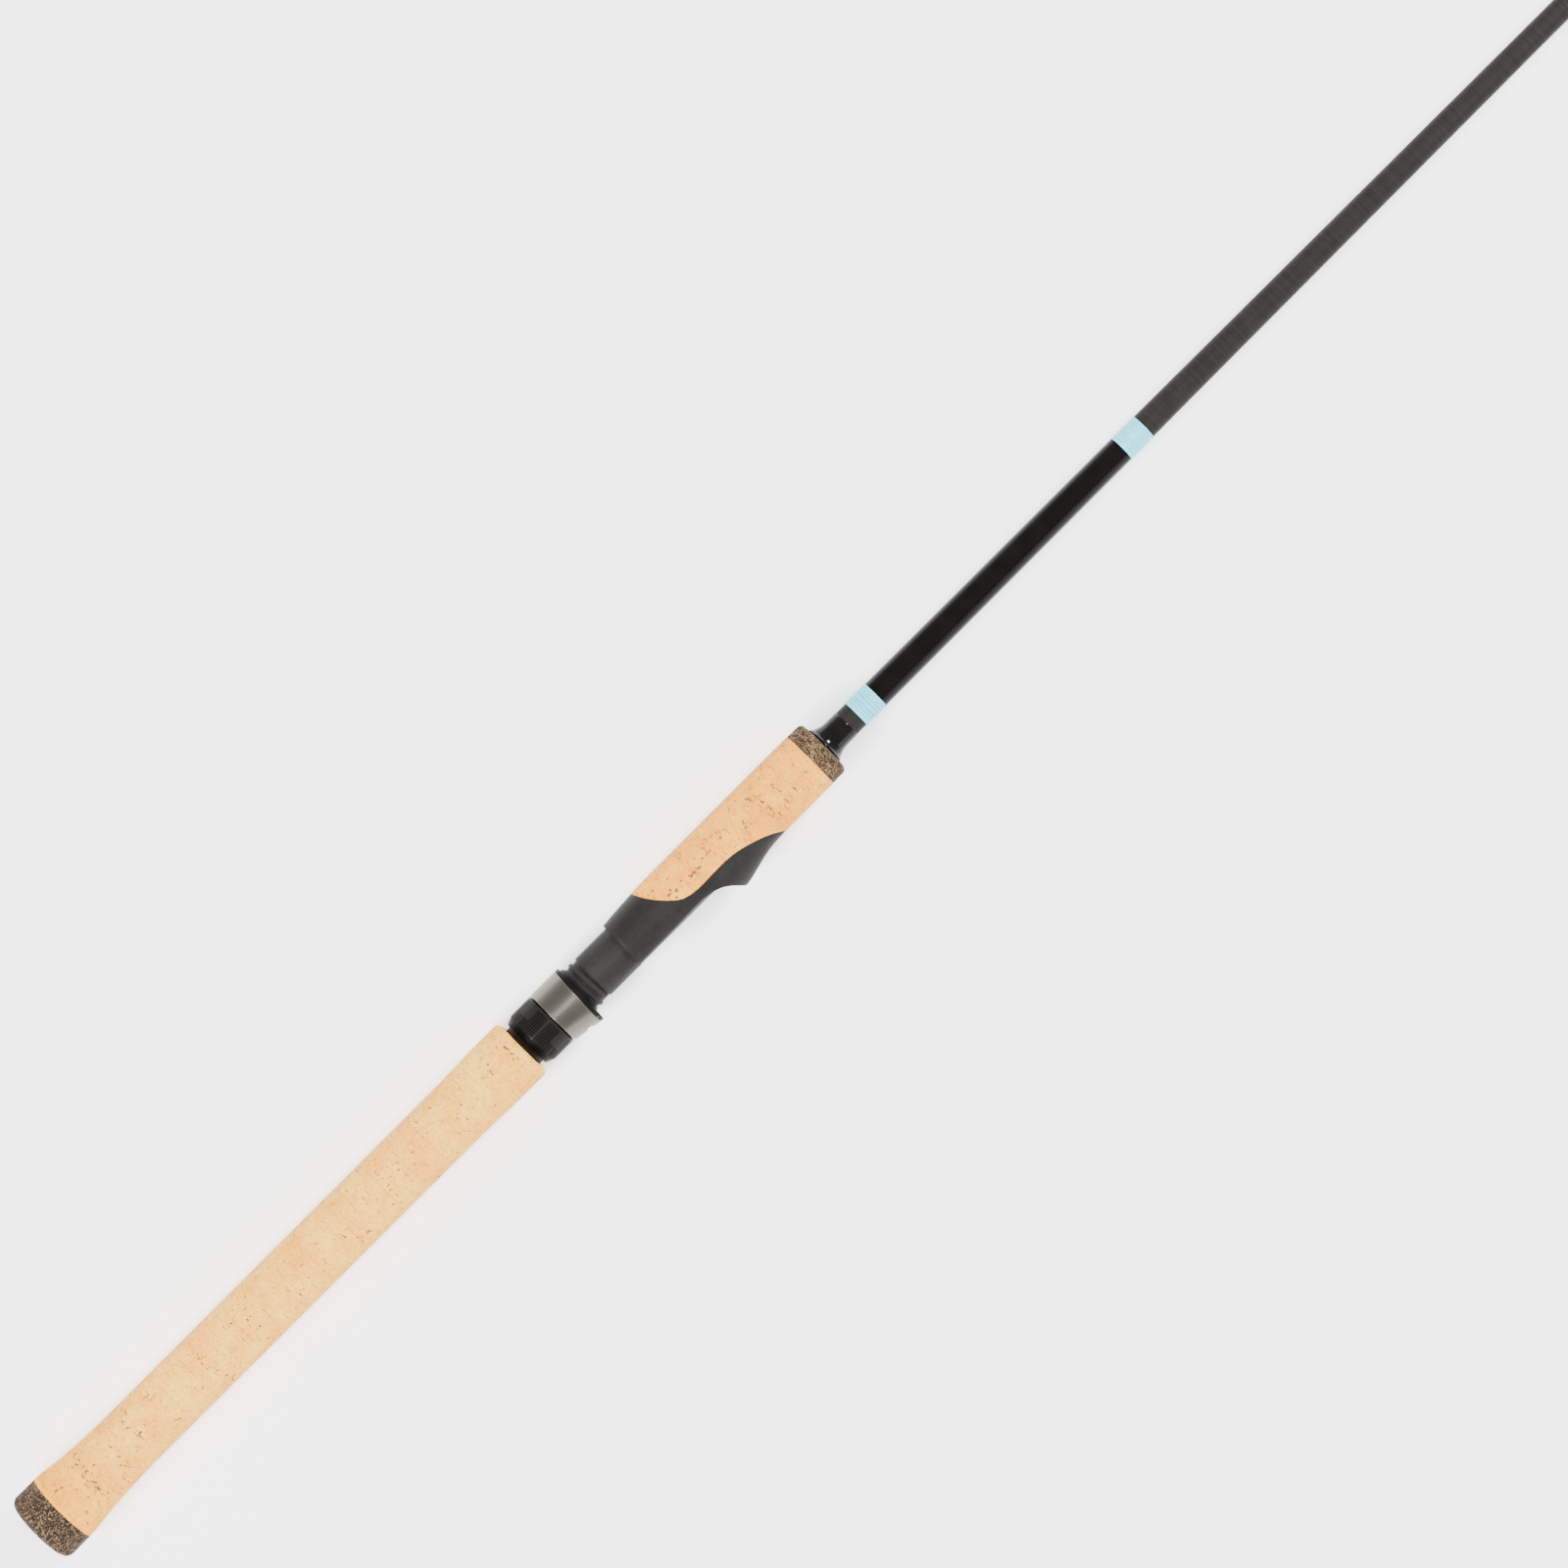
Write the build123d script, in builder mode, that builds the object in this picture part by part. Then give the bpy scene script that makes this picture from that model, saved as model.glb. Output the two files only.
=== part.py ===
from build123d import *
from math import cos, degrees, pi, sin, sqrt
import os

# One-piece spinning rod, modelled lying on its side, in millimetres.
# The rod's centre line is the X axis: X = 0 is the flat of the butt, +X runs to the tip.
# The reel and the line guides hang on the -Y side. +Z is up.

os.makedirs("parts", exist_ok=True)

# ---------------------------------------------------------------- driving dimensions
rod_length = 2286.0

# stations along the rod, measured from the butt
cap_end = 13.5
rear_grip_end = 265.0
thread_end = 303.4
body_start = 320.2
seat_end = 396.9
fore_cork_end = 422.4
fore_ring_end = 430.0
check_end = 442.5
cork_stock = 12.7            # thickness of one cork ring

# blank: (station, outside radius, wall)
blank_stations = [
    (5.0, 6.60, 1.3),
    (442.0, 5.84, 1.2),
    (611.0, 5.50, 1.1),
    (832.0, 4.80, 1.0),
    (1300.0, 3.50, 0.8),
    (1800.0, 2.15, 0.6),
    (rod_length - 7.0, 0.95, 0.4),
]

# grips
cap_radius = 15.5
cap_corner = 4.0
grip_radius = 13.0
fore_radius = 12.8

# reel seat barrel and its thread
thread_pitch = 3.3
thread_root_radius = 9.2
thread_crest_radius = 10.0
barrel_radius = 9.9
core_radius = 8.6            # seat core below the fore grip
seat_bore_radius = 7.6
key_width = 3.0

# sliding hood and its nut, drawn fully backed off
nut_start = 267.1
nut_end = 281.0
nut_radius = 11.9
hood_start = 281.4
hood_end = 294.3             # top edge of the metal sleeve
lip_end = 296.3
liner_end = 297.2
hood_radius = 12.15
hood_wall = 0.7
running_gap = 0.10

# trim on the blank
rear_band = (447.6, 458.3)
front_band = (593.4, 605.5)

# line guides: station of each ring and the ring's outside diameter
guide_stations = [881.0, 1236.0, 1516.0, 1731.0, 1906.0, 2051.0, 2176.0]
ring_sizes = [25.0, 16.0, 12.0, 10.0, 8.0, 7.0, 7.0]
double_foot_count = 3
tip_ring_size = 7.0


def blank_radius(station):
    """Outside radius of the blank at a station, straight between the listed ones."""
    for (x0, r0, _), (x1, r1, _) in zip(blank_stations, blank_stations[1:]):
        if station <= x1:
            return r0 + (r1 - r0) * (station - x0) / (x1 - x0)
    return blank_stations[-1][1]


def finish(builder, name):
    """Label a finished sub-part and write it under its own name."""
    builder.part.label = name
    export_step(builder.part, f"parts/{name}.step")


# ---------------------------------------------------------------- blank
blank_tip = blank_stations[-1][0]

with BuildPart() as blank_form:
    with BuildSketch(Plane.XY):
        with BuildLine():
            Polyline(
                (blank_stations[0][0], 0),
                *[(x, r) for x, r, _ in blank_stations],
                (blank_tip, 0),
                close=True,
            )
        make_face()
    revolve(axis=Axis.X)

with BuildPart() as blank:
    with BuildSketch(Plane.XY):
        with BuildLine():
            Polyline(
                *[(x, r) for x, r, _ in blank_stations],
                *[(x, r - wall) for x, r, wall in reversed(blank_stations)],
                close=True,
            )
        make_face()
    revolve(axis=Axis.X)
finish(blank, "blank")

# ---------------------------------------------------------------- butt cap
cap_flat_radius = 8.0
cap_dome = 0.5

with BuildPart() as butt_cap:
    with BuildSketch(Plane.XY):
        with BuildLine():
            Line((cap_end, 0), (0, 0))
            Line((0, 0), (0, cap_flat_radius))
            shoulder = (cap_dome, cap_radius - cap_corner)
            Line((0, cap_flat_radius), shoulder)
            Spline(
                shoulder,
                (cap_dome + 0.29 * cap_corner, cap_radius - 0.29 * cap_corner),
                (cap_dome + cap_corner, cap_radius),
                tangents=[(cap_dome, 3.5), (1, 0)],
            )
            Line((cap_dome + cap_corner, cap_radius), (cap_end, cap_radius - 0.1))
            Line((cap_end, cap_radius - 0.1), (cap_end, 0))
        make_face()
    revolve(axis=Axis.X)
    add(blank_form.part, mode=Mode.SUBTRACT)
finish(butt_cap, "butt_cap")

# ---------------------------------------------------------------- rear grip
flare_end = 50.0
swell_start = 230.0
swell_full = 252.0
swell_radius = 13.5
grip_corner = 2.0

with BuildPart() as rear_grip:
    with BuildSketch(Plane.XY):
        with BuildLine():
            Line((cap_end, 0), (cap_end, cap_radius - 0.1))
            Spline(
                (cap_end, cap_radius - 0.1),
                (26.0, 14.1),
                (36.0, 13.4),
                (flare_end, grip_radius),
                tangents=[(1, -0.02), (1, 0)],
            )
            Line((flare_end, grip_radius), (swell_start, grip_radius))
            Spline(
                (swell_start, grip_radius),
                (swell_full, swell_radius),
                tangents=[(1, 0), (1, 0)],
            )
            Line((swell_full, swell_radius), (rear_grip_end - grip_corner, swell_radius))
            RadiusArc(
                (rear_grip_end - grip_corner, swell_radius),
                (rear_grip_end, swell_radius - grip_corner),
                grip_corner,
            )
            Line((rear_grip_end, swell_radius - grip_corner), (rear_grip_end, 0))
            Line((rear_grip_end, 0), (cap_end, 0))
        make_face()
    revolve(axis=Axis.X)
    add(blank_form.part, mode=Mode.SUBTRACT)

rear_ring_count = 20
envelope = 4 * cap_radius
for number in range(1, rear_ring_count + 1):
    ring_front = rear_grip_end - (rear_ring_count - number) * cork_stock
    ring_back = max(cap_end, ring_front - cork_stock)
    with BuildPart() as rear_cork:
        add(rear_grip.part)
        with Locations(((ring_back + ring_front) / 2, 0, 0)):
            Box(ring_front - ring_back, envelope, envelope, mode=Mode.INTERSECT)
    finish(rear_cork, f"rear_cork_{number:02d}")

# ---------------------------------------------------------------- reel seat
body_rear_radius = 11.3
body_full = 350.0
bulge_drop = 5.0             # the fixed hood is turned about a line this far to the reel side
bulge_start = 344.0
hood_tip = 371.5
hood_tip_depth = 16.9
deck_edge = 8.6              # depth of the deck's two long edges
deck_crown = 1.1
deck_half_width = 9.5
pocket_floor = 10.25
deck_ramp = [                # side view of the deck's rise into the mouth of the fixed hood
    (356.6, -9.0),
    (362.3, -10.4),
    (366.1, -12.7),
    (368.2, -14.7),
    (370.8, -17.3),
]
pocket_half_width = 6.4
pocket_start = 359.5
pocket_end = 380.0
pocket_taper = 1.8
hood_shell = 1.7             # wall of the fixed hood over its pocket

# side view of the line where the fore grip laps over the seat
lap_line = [
    (336.5, 12.9),
    (339.4, 7.2),
    (345.0, 0.4),
    (349.0, -2.8),
    (354.0, -4.3),
    (362.0, -4.5),
    (370.0, -4.4),
    (378.0, -5.2),
    (386.0, -7.5),
    (seat_end, -fore_radius - 0.1),
]

bulge_axis = Axis((0, -bulge_drop, 0), (1, 0, 0))
crown_radius = (deck_half_width**2 + deck_crown**2) / (2 * deck_crown)

with BuildPart() as deck_cutter:
    # all that lies outside the crowned deck, seen along the rod
    with BuildSketch(Plane.YZ.offset(body_start)):
        with BuildLine():
            ThreePointArc(
                (-deck_edge, deck_half_width),
                (-deck_edge - deck_crown, 0),
                (-deck_edge, -deck_half_width),
            )
            Polyline(
                (-deck_edge, -deck_half_width),
                (-deck_edge, -envelope),
                (-envelope, -envelope),
                (-envelope, envelope),
                (-deck_edge, envelope),
                (-deck_edge, deck_half_width),
            )
        make_face()
    extrude(amount=hood_tip + 4 - body_start)
    # ... and outside the ramp that runs up the mouth of the fixed hood, seen from the side
    with BuildSketch(Plane.XY):
        with BuildLine():
            Line((body_start, 0), deck_ramp[0])
            Spline(*deck_ramp, tangents=[(1, -0.15), (0.68, -0.73)])
            Polyline(
                deck_ramp[-1],
                (deck_ramp[-1][0], -envelope),
                (body_start, -envelope),
                (body_start, 0),
            )
        make_face()
    extrude(amount=envelope, both=True, mode=Mode.INTERSECT)

# pocket for the front end of the reel foot, tapering towards its blind end
with BuildPart() as pocket_cutter:
    with BuildSketch(Plane.XY):
        with BuildLine():
            Polyline(
                (pocket_start, -bulge_drop),
                (pocket_start, -hood_tip_depth + hood_shell),
                (hood_tip, -hood_tip_depth + hood_shell),
                (pocket_end, -hood_tip_depth + hood_shell + pocket_taper),
                (pocket_end, -bulge_drop),
                close=True,
            )
        make_face()
    revolve(axis=bulge_axis)
    with Locations((hood_tip, -pocket_floor - 5, 0)):
        Box(envelope, 10, 2 * pocket_half_width, mode=Mode.INTERSECT)

with BuildPart() as thread:
    thread_start = rear_grip_end + 1.5
    ridge_root = 1.9
    ridge_crest = 1.3
    with BuildLine() as thread_path:
        Helix(
            thread_pitch,
            thread_end - thread_start - thread_pitch,
            thread_root_radius,
            center=(thread_start + thread_pitch / 2, 0, 0),
            direction=(1, 0, 0),
        )
    start = thread_path.line @ 0
    outward = Vector(0, start.Y, start.Z).normalized()
    with BuildSketch(Plane(origin=start, x_dir=outward, z_dir=thread_path.line % 0)):
        with BuildLine():
            Polyline(
                (-0.3, -ridge_root / 2),
                (thread_crest_radius - thread_root_radius, -ridge_crest / 2),
                (thread_crest_radius - thread_root_radius, ridge_crest / 2),
                (-0.3, ridge_root / 2),
                close=True,
            )
        make_face()
    sweep(path=thread_path.line, is_frenet=True)

with BuildPart() as reel_seat:
    # barrel and body, turned about the rod's axis
    with BuildSketch(Plane.XY):
        with BuildLine():
            Polyline(
                (rear_grip_end, 0),
                (rear_grip_end, thread_root_radius),
                (thread_end, thread_root_radius),
                (thread_end, barrel_radius),
                (body_start, barrel_radius),
                (body_start, body_rear_radius),
            )
            Spline(
                (body_start, body_rear_radius),
                (336.5, 12.45),
                (body_full, fore_radius),
                tangents=[(1, 0.12), (1, 0)],
            )
            Polyline(
                (body_full, fore_radius),
                (seat_end, fore_radius),
                (seat_end, 0),
                (rear_grip_end, 0),
            )
        make_face()
    revolve(axis=Axis.X)
    # fixed hood, turned about a line on the reel side
    with BuildSketch(Plane.XY):
        with BuildLine():
            Line((bulge_start, -bulge_drop), (bulge_start, -fore_radius + 0.1))
            Spline(
                (bulge_start, -fore_radius + 0.1),
                (hood_tip - 9, -15.2),
                (hood_tip, -hood_tip_depth),
                tangents=[(1, -0.05), (1, -0.03)],
            )
            Spline(
                (hood_tip, -hood_tip_depth),
                (376.5, -15.9),
                (383.5, -14.1),
                (seat_end, -12.75),
                tangents=[(1, 0.1), (1, 0.03)],
            )
            Polyline(
                (seat_end, -12.75),
                (seat_end, -bulge_drop),
                (bulge_start, -bulge_drop),
            )
        make_face()
    revolve(axis=bulge_axis)
    # clear the deck and the mouth of the hood
    add(deck_cutter.part, mode=Mode.SUBTRACT)
    # clear the room for the fore grip, then put back the core that carries it
    with BuildSketch(Plane.XY):
        with BuildLine():
            Spline(*lap_line, tangents=[(0.35, -1), (1, -0.62)])
            Polyline(
                lap_line[-1],
                (seat_end + 5, -fore_radius - 0.1),
                (seat_end + 5, envelope),
                (lap_line[0][0], envelope),
                lap_line[0],
            )
        make_face()
    extrude(amount=envelope, both=True, mode=Mode.SUBTRACT)
    with BuildSketch(Plane.YZ.offset(body_start)):
        Circle(core_radius)
    extrude(amount=seat_end - body_start)
    add(pocket_cutter.part, mode=Mode.SUBTRACT)
    add(thread.part)
    # keyway that stops the sliding hood from turning
    keyway_start = 281.0
    keyway_end = body_start - 1.0
    with Locations(((keyway_start + keyway_end) / 2, -thread_root_radius - 1, 0)):
        Box(keyway_end - keyway_start, 2, key_width, mode=Mode.SUBTRACT)
    with BuildSketch(Plane.YZ.offset(rear_grip_end)):
        Circle(seat_bore_radius)
    extrude(amount=seat_end - rear_grip_end, mode=Mode.SUBTRACT)
finish(reel_seat, "reel_seat")

# bushes that centre the seat on the blank
arbor_starts = (270.0, 322.0, 374.0)
arbor_length = 16.0

with BuildPart() as seat_arbors:
    for arbor_start in arbor_starts:
        with BuildSketch(Plane.YZ.offset(arbor_start)):
            Circle(seat_bore_radius)
        extrude(amount=arbor_length)
    add(blank_form.part, mode=Mode.SUBTRACT)
finish(seat_arbors, "seat_arbors")

# ---------------------------------------------------------------- sliding hood
face_lean = 0.043            # the hood's front face leans back towards the reel side
sleeve_front = 294.0         # the faces' stations on the rod's axis
lip_front = 295.6
lip_inset = 0.15             # the lip stands this far inside the sleeve's skin
window_station = 288.7
window_length = 2.4
window_width = 9.0
foot_slot_start = 287.0
foot_slot_half_width = 6.3
foot_slot_roof = 11.9        # at the slot's blind end; it opens by foot_slot_rise to the front
foot_slot_rise = 0.8
nose_radius = 10.7
nose_chamfer = 0.35
key_station = 284.5
key_length = 3.0
key_height = 1.1
collar_radius = 10.65        # tail of the liner, held inside the nut
snap_radius = 10.95
collar_start = 277.0


def hood_points(station, inset):
    """Points round the hood's section at a station, inset from its outer skin."""
    bulge = 0.2 + 2.1 * (station - hood_start) / (hood_end - hood_start)
    steps = 16
    points = []
    for step in range(steps):
        turn = 2 * pi * step / steps
        radius = hood_radius - inset + bulge * max(0.0, -cos(turn)) ** 2
        points.append((radius * cos(turn), radius * sin(turn)))
    return points


with BuildPart() as hood_core:
    for station in (hood_start, lip_end):
        with BuildSketch(Plane.YZ.offset(station)):
            with BuildLine():
                Spline(*hood_points(station, hood_wall), periodic=True)
            make_face()
    loft(ruled=True)

front_face = Plane(origin=(sleeve_front, 0, 0), z_dir=(1, -face_lean, 0))
lip_face = Plane(origin=(lip_front, 0, 0), z_dir=(1, -face_lean, 0))

with BuildPart() as hood_sleeve:
    for station in (hood_start, lip_end):
        with BuildSketch(Plane.YZ.offset(station)):
            with BuildLine():
                Spline(*hood_points(station, 0.0), periodic=True)
            make_face()
    loft(ruled=True)
    add(hood_core.part, mode=Mode.SUBTRACT)
    split(bisect_by=front_face, keep=Keep.BOTTOM)
    with Locations((window_station, -hood_radius - 1, 0)):
        Box(window_length, 5, window_width, mode=Mode.SUBTRACT)
finish(hood_sleeve, "hood_sleeve")

with BuildPart() as lip_ring:
    for station in (hood_start, lip_end):
        with BuildSketch(Plane.YZ.offset(station)):
            with BuildLine():
                Spline(*hood_points(station, lip_inset), periodic=True)
            make_face()
    loft(ruled=True)
    split(bisect_by=front_face, keep=Keep.TOP)

with BuildPart() as hood_liner:
    add(hood_core.part)
    add(lip_ring.part)
    split(bisect_by=lip_face, keep=Keep.BOTTOM)
    # nose that stands out of the lip round the barrel, and the tail that the nut holds
    with BuildSketch(Plane.XY):
        with BuildLine():
            Polyline(
                (collar_start, 0),
                (collar_start, snap_radius - 0.25),
                (collar_start + 0.4, snap_radius),
                (collar_start + 1.2, snap_radius),
                (collar_start + 1.5, collar_radius),
                (hood_start + 1, collar_radius),
                (hood_start + 1, nose_radius),
                (liner_end - nose_chamfer, nose_radius),
                (liner_end, nose_radius - nose_chamfer),
                (liner_end, 0),
                close=True,
            )
        make_face()
    revolve(axis=Axis.X)
    with BuildSketch(Plane.YZ.offset(collar_start)):
        Circle(thread_crest_radius + running_gap)
    extrude(amount=liner_end - collar_start, mode=Mode.SUBTRACT)
    # slot for the rear end of the reel foot, open to the front and to the barrel
    with BuildSketch(Plane.XY):
        with BuildLine():
            Polyline(
                (foot_slot_start, 0),
                (foot_slot_start, -foot_slot_roof),
                (liner_end + 1, -foot_slot_roof - foot_slot_rise),
                (liner_end + 1, 0),
                close=True,
            )
        make_face()
    extrude(amount=foot_slot_half_width, both=True, mode=Mode.SUBTRACT)
    # key that runs in the barrel's keyway
    with Locations((key_station, -thread_root_radius - 0.15 - key_height / 2, 0)):
        Box(key_length, key_height, key_width - 0.3)
finish(hood_liner, "hood_liner")

# ---------------------------------------------------------------- lock nut
counterbore_gap = 0.08
nut_bore_radius = thread_crest_radius + 0.15
nut_neck_radius = 10.7       # plain collar at the nut's rear
groove_start = 269.5
long_groove = 10.3
short_groove = 4.4
groove_width = 0.45
groove_depth = 0.5
groove_step = 0.95           # spacing of the grooves round the nut
long_grooves = range(1, 7)   # places counted from the middle of a land
short_grooves = range(7, 10)
sector_count = 4

nut_thread_start = 269.8
nut_ridge_length = 2 * thread_pitch

with BuildPart() as nut_thread:
    with BuildLine() as nut_path:
        Helix(
            thread_pitch,
            nut_ridge_length,
            nut_bore_radius,
            center=(nut_thread_start, 0, 0),
            direction=(1, 0, 0),
        )
    nut_ridge_origin = nut_path.line @ 0
    nut_outward = Vector(0, nut_ridge_origin.Y, nut_ridge_origin.Z).normalized()
    with BuildSketch(
        Plane(origin=nut_ridge_origin, x_dir=nut_outward, z_dir=nut_path.line % 0)
    ):
        with BuildLine():
            Polyline(
                (0.3, -0.65),
                (-0.7, -0.4),
                (-0.7, 0.4),
                (0.3, 0.65),
                close=True,
            )
        make_face()
    sweep(path=nut_path.line, is_frenet=True)

with BuildPart() as lock_nut:
    with BuildSketch(Plane.XY):
        with BuildLine():
            Polyline(
                (nut_start, nut_bore_radius),
                (nut_start, nut_neck_radius - 0.3),
                (nut_start + 0.3, nut_neck_radius),
                (nut_start + 1.0, nut_neck_radius),
                (nut_start + 1.1, nut_neck_radius + 0.4),
                (nut_start + 2.3, nut_neck_radius + 0.65),
                (nut_start + 2.9, nut_radius - 0.2),
                (nut_start + 3.4, nut_radius),
                (nut_end - 0.4, nut_radius),
                (nut_end, nut_radius - 0.4),
                (nut_end, collar_radius + counterbore_gap),
                (collar_start + 1.55, collar_radius + counterbore_gap),
                (collar_start + 1.25, snap_radius + counterbore_gap),
                (collar_start - 0.15, snap_radius + counterbore_gap),
                (collar_start - 0.15, nut_bore_radius),
                close=True,
            )
        make_face()
    revolve(axis=Axis.X)
    # grip grooves: each sector has a smooth land with long grooves on both sides,
    # then shorter ones
    sector = 360 / sector_count
    for reach, places in ((long_groove, long_grooves), (short_groove, short_grooves)):
        with BuildSketch(Plane.YZ.offset(groove_start)):
            for place in places:
                turn = degrees(groove_step * place / nut_radius)
                for side in (-turn, turn):
                    with PolarLocations(nut_radius, sector_count, start_angle=side):
                        Rectangle(2 * groove_depth, groove_width)
        extrude(amount=reach, mode=Mode.SUBTRACT)
    add(nut_thread.part)
finish(lock_nut, "lock_nut")

# ---------------------------------------------------------------- fore grip
with BuildPart() as fore_grip:
    with BuildSketch(Plane.XY):
        with BuildLine():
            Line((lap_line[0][0] - 2, 0), (lap_line[0][0] - 2, 12.3))
            Spline(
                (lap_line[0][0] - 2, 12.3),
                (336.5, 12.45),
                (body_full, fore_radius),
                tangents=[(1, 0.06), (1, 0)],
            )
            Polyline(
                (body_full, fore_radius),
                (fore_cork_end, fore_radius),
                (fore_cork_end, 0),
                (lap_line[0][0] - 2, 0),
            )
        make_face()
    revolve(axis=Axis.X)
    # keep what lies above the lap line and in front of the seat
    with BuildSketch(Plane.XY):
        with BuildLine():
            Spline(*lap_line, tangents=[(0.35, -1), (1, -0.62)])
            Polyline(
                lap_line[-1],
                (seat_end, -envelope),
                (fore_cork_end, -envelope),
                (fore_cork_end, envelope),
                (lap_line[0][0], envelope),
                lap_line[0],
            )
        make_face()
    extrude(amount=envelope, both=True, mode=Mode.INTERSECT)
    with BuildSketch(Plane.YZ.offset(body_start)):
        Circle(core_radius)
    extrude(amount=seat_end - body_start, mode=Mode.SUBTRACT)
    add(blank_form.part, mode=Mode.SUBTRACT)

fore_ring_count = 7
for number in range(1, fore_ring_count + 1):
    ring_front = fore_cork_end - (fore_ring_count - number) * cork_stock
    ring_back = ring_front - cork_stock
    with BuildPart() as fore_cork:
        add(fore_grip.part)
        with Locations(((ring_back + ring_front) / 2, 0, 0)):
            Box(cork_stock, envelope, envelope, mode=Mode.INTERSECT)
    finish(fore_cork, f"fore_cork_{number}")

with BuildPart() as fore_end_ring:
    with BuildSketch(Plane.XY):
        with BuildLine():
            Polyline(
                (fore_cork_end, 0),
                (fore_cork_end, fore_radius - 0.1),
                (fore_ring_end - 2.2, fore_radius - 0.25),
            )
            Spline(
                (fore_ring_end - 2.2, fore_radius - 0.25),
                (fore_ring_end - 0.7, fore_radius - 0.85),
                (fore_ring_end, fore_radius - 2.4),
                tangents=[(1, -0.02), (0.1, -1)],
            )
            Line((fore_ring_end, fore_radius - 2.4), (fore_ring_end, 0))
            Line((fore_ring_end, 0), (fore_cork_end, 0))
        make_face()
    revolve(axis=Axis.X)
    add(blank_form.part, mode=Mode.SUBTRACT)
finish(fore_end_ring, "fore_end_ring")

# ---------------------------------------------------------------- trim in front of the grip
check_flare_radius = 8.4
check_neck_radius = 6.15
coat = 0.18                  # clear coat over the label
trim_edge = 0.3

with BuildPart() as winding_check:
    with BuildSketch(Plane.XY):
        with BuildLine():
            Polyline(
                (check_end, 0),
                (fore_ring_end, 0),
                (fore_ring_end, check_flare_radius - 0.3),
                (fore_ring_end + 0.3, check_flare_radius),
                (fore_ring_end + 0.9, check_flare_radius),
            )
            Spline(
                (fore_ring_end + 0.9, check_flare_radius),
                (fore_ring_end + 3.0, 6.95),
                (fore_ring_end + 7.0, check_neck_radius),
                tangents=[(0.5, -1), (1, 0)],
            )
            Polyline(
                (fore_ring_end + 7.0, check_neck_radius),
                (check_end - 0.4, check_neck_radius - 0.05),
                (check_end, check_neck_radius - 0.2),
                (check_end, 0),
            )
        make_face()
    revolve(axis=Axis.X)
    add(blank_form.part, mode=Mode.SUBTRACT)
finish(winding_check, "winding_check")

with BuildPart() as label_coat:
    with BuildSketch(Plane.XY):
        with BuildLine():
            Polyline(
                (rear_band[1], blank_radius(rear_band[1])),
                (rear_band[1], blank_radius(rear_band[1]) + coat),
                (front_band[0], blank_radius(front_band[0]) + coat),
                (front_band[0], blank_radius(front_band[0])),
                close=True,
            )
        make_face()
    revolve(axis=Axis.X)
finish(label_coat, "label_coat")

for name, band, swell in (
    ("rear_trim_wrap", rear_band, 0.65),
    ("front_trim_wrap", front_band, 0.45),
):
    with BuildPart() as trim_wrap:
        with BuildSketch(Plane.XY):
            with BuildLine():
                low = blank_radius(band[0])
                high = blank_radius(band[1])
                Line((band[0], low), (band[0], low + trim_edge))
                ThreePointArc(
                    (band[0], low + trim_edge),
                    ((band[0] + band[1]) / 2, (low + high) / 2 + swell),
                    (band[1], high + trim_edge),
                )
                Line((band[1], high + trim_edge), (band[1], high))
                Line((band[1], high), (band[0], low))
            make_face()
        revolve(axis=Axis.X)
    finish(trim_wrap, name)

# ---------------------------------------------------------------- line guides
toe_cover = 3.0              # thread laid on the bare blank beyond a foot's toe
heel_gap = 0.8               # bare foot left beside the leg
flank_level = 0.55           # a forked leg meets the ring's band this far below its middle


def sheet_of(size):
    """Thickness of the sheet that a guide of this ring size is stamped from."""
    return 0.5 + 0.016 * size


def band_radius(size):
    """Outside radius of the band that holds the ring."""
    return size / 2 + 0.5 + 0.02 * size


def ring_wall(size):
    """Radial thickness of the ceramic ring."""
    return 0.1 + 0.36 * sqrt(size)


def ring_width(size):
    return 0.8 + 0.09 * size


def ring_drop(station, size):
    """Distance from the rod's axis out to the ring's centre."""
    return blank_radius(station) + 1.08 * size - 1.0


def foot_width(station):
    return min(3.4, 1.2 * blank_radius(station))


def foot_length(size):
    return 9.0 + 0.24 * size


def fork_plane(flank, heel):
    """Plane of a forked leg, its local Y running from the ring's flank to the heel."""
    run = (Vector(*heel) - Vector(*flank)).normalized()
    return Plane(origin=flank, x_dir=(0, 0, 1), z_dir=Vector(0, 0, 1).cross(run))


def fork_outlines(size, heel_width, leg):
    """Outer and inner outlines of a forked leg, in the fork's plane."""
    strut = 0.8 + 0.045 * size
    wide = band_radius(size) * sqrt(1 - flank_level**2)
    apex = min(0.92 * leg, leg * (wide - strut) / (wide - heel_width / 2))
    outer = [(-wide, 0), (wide, 0), (heel_width / 2, leg), (-heel_width / 2, leg)]
    inner = [(strut - wide, -0.1), (wide - strut, -0.1), (0.15, apex), (-0.15, apex)]
    return outer, inner


guide_feet = {}              # guide number: spans of its feet as (heel, toe)
guide_frames = {}            # guide number: its finished frame

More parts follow.
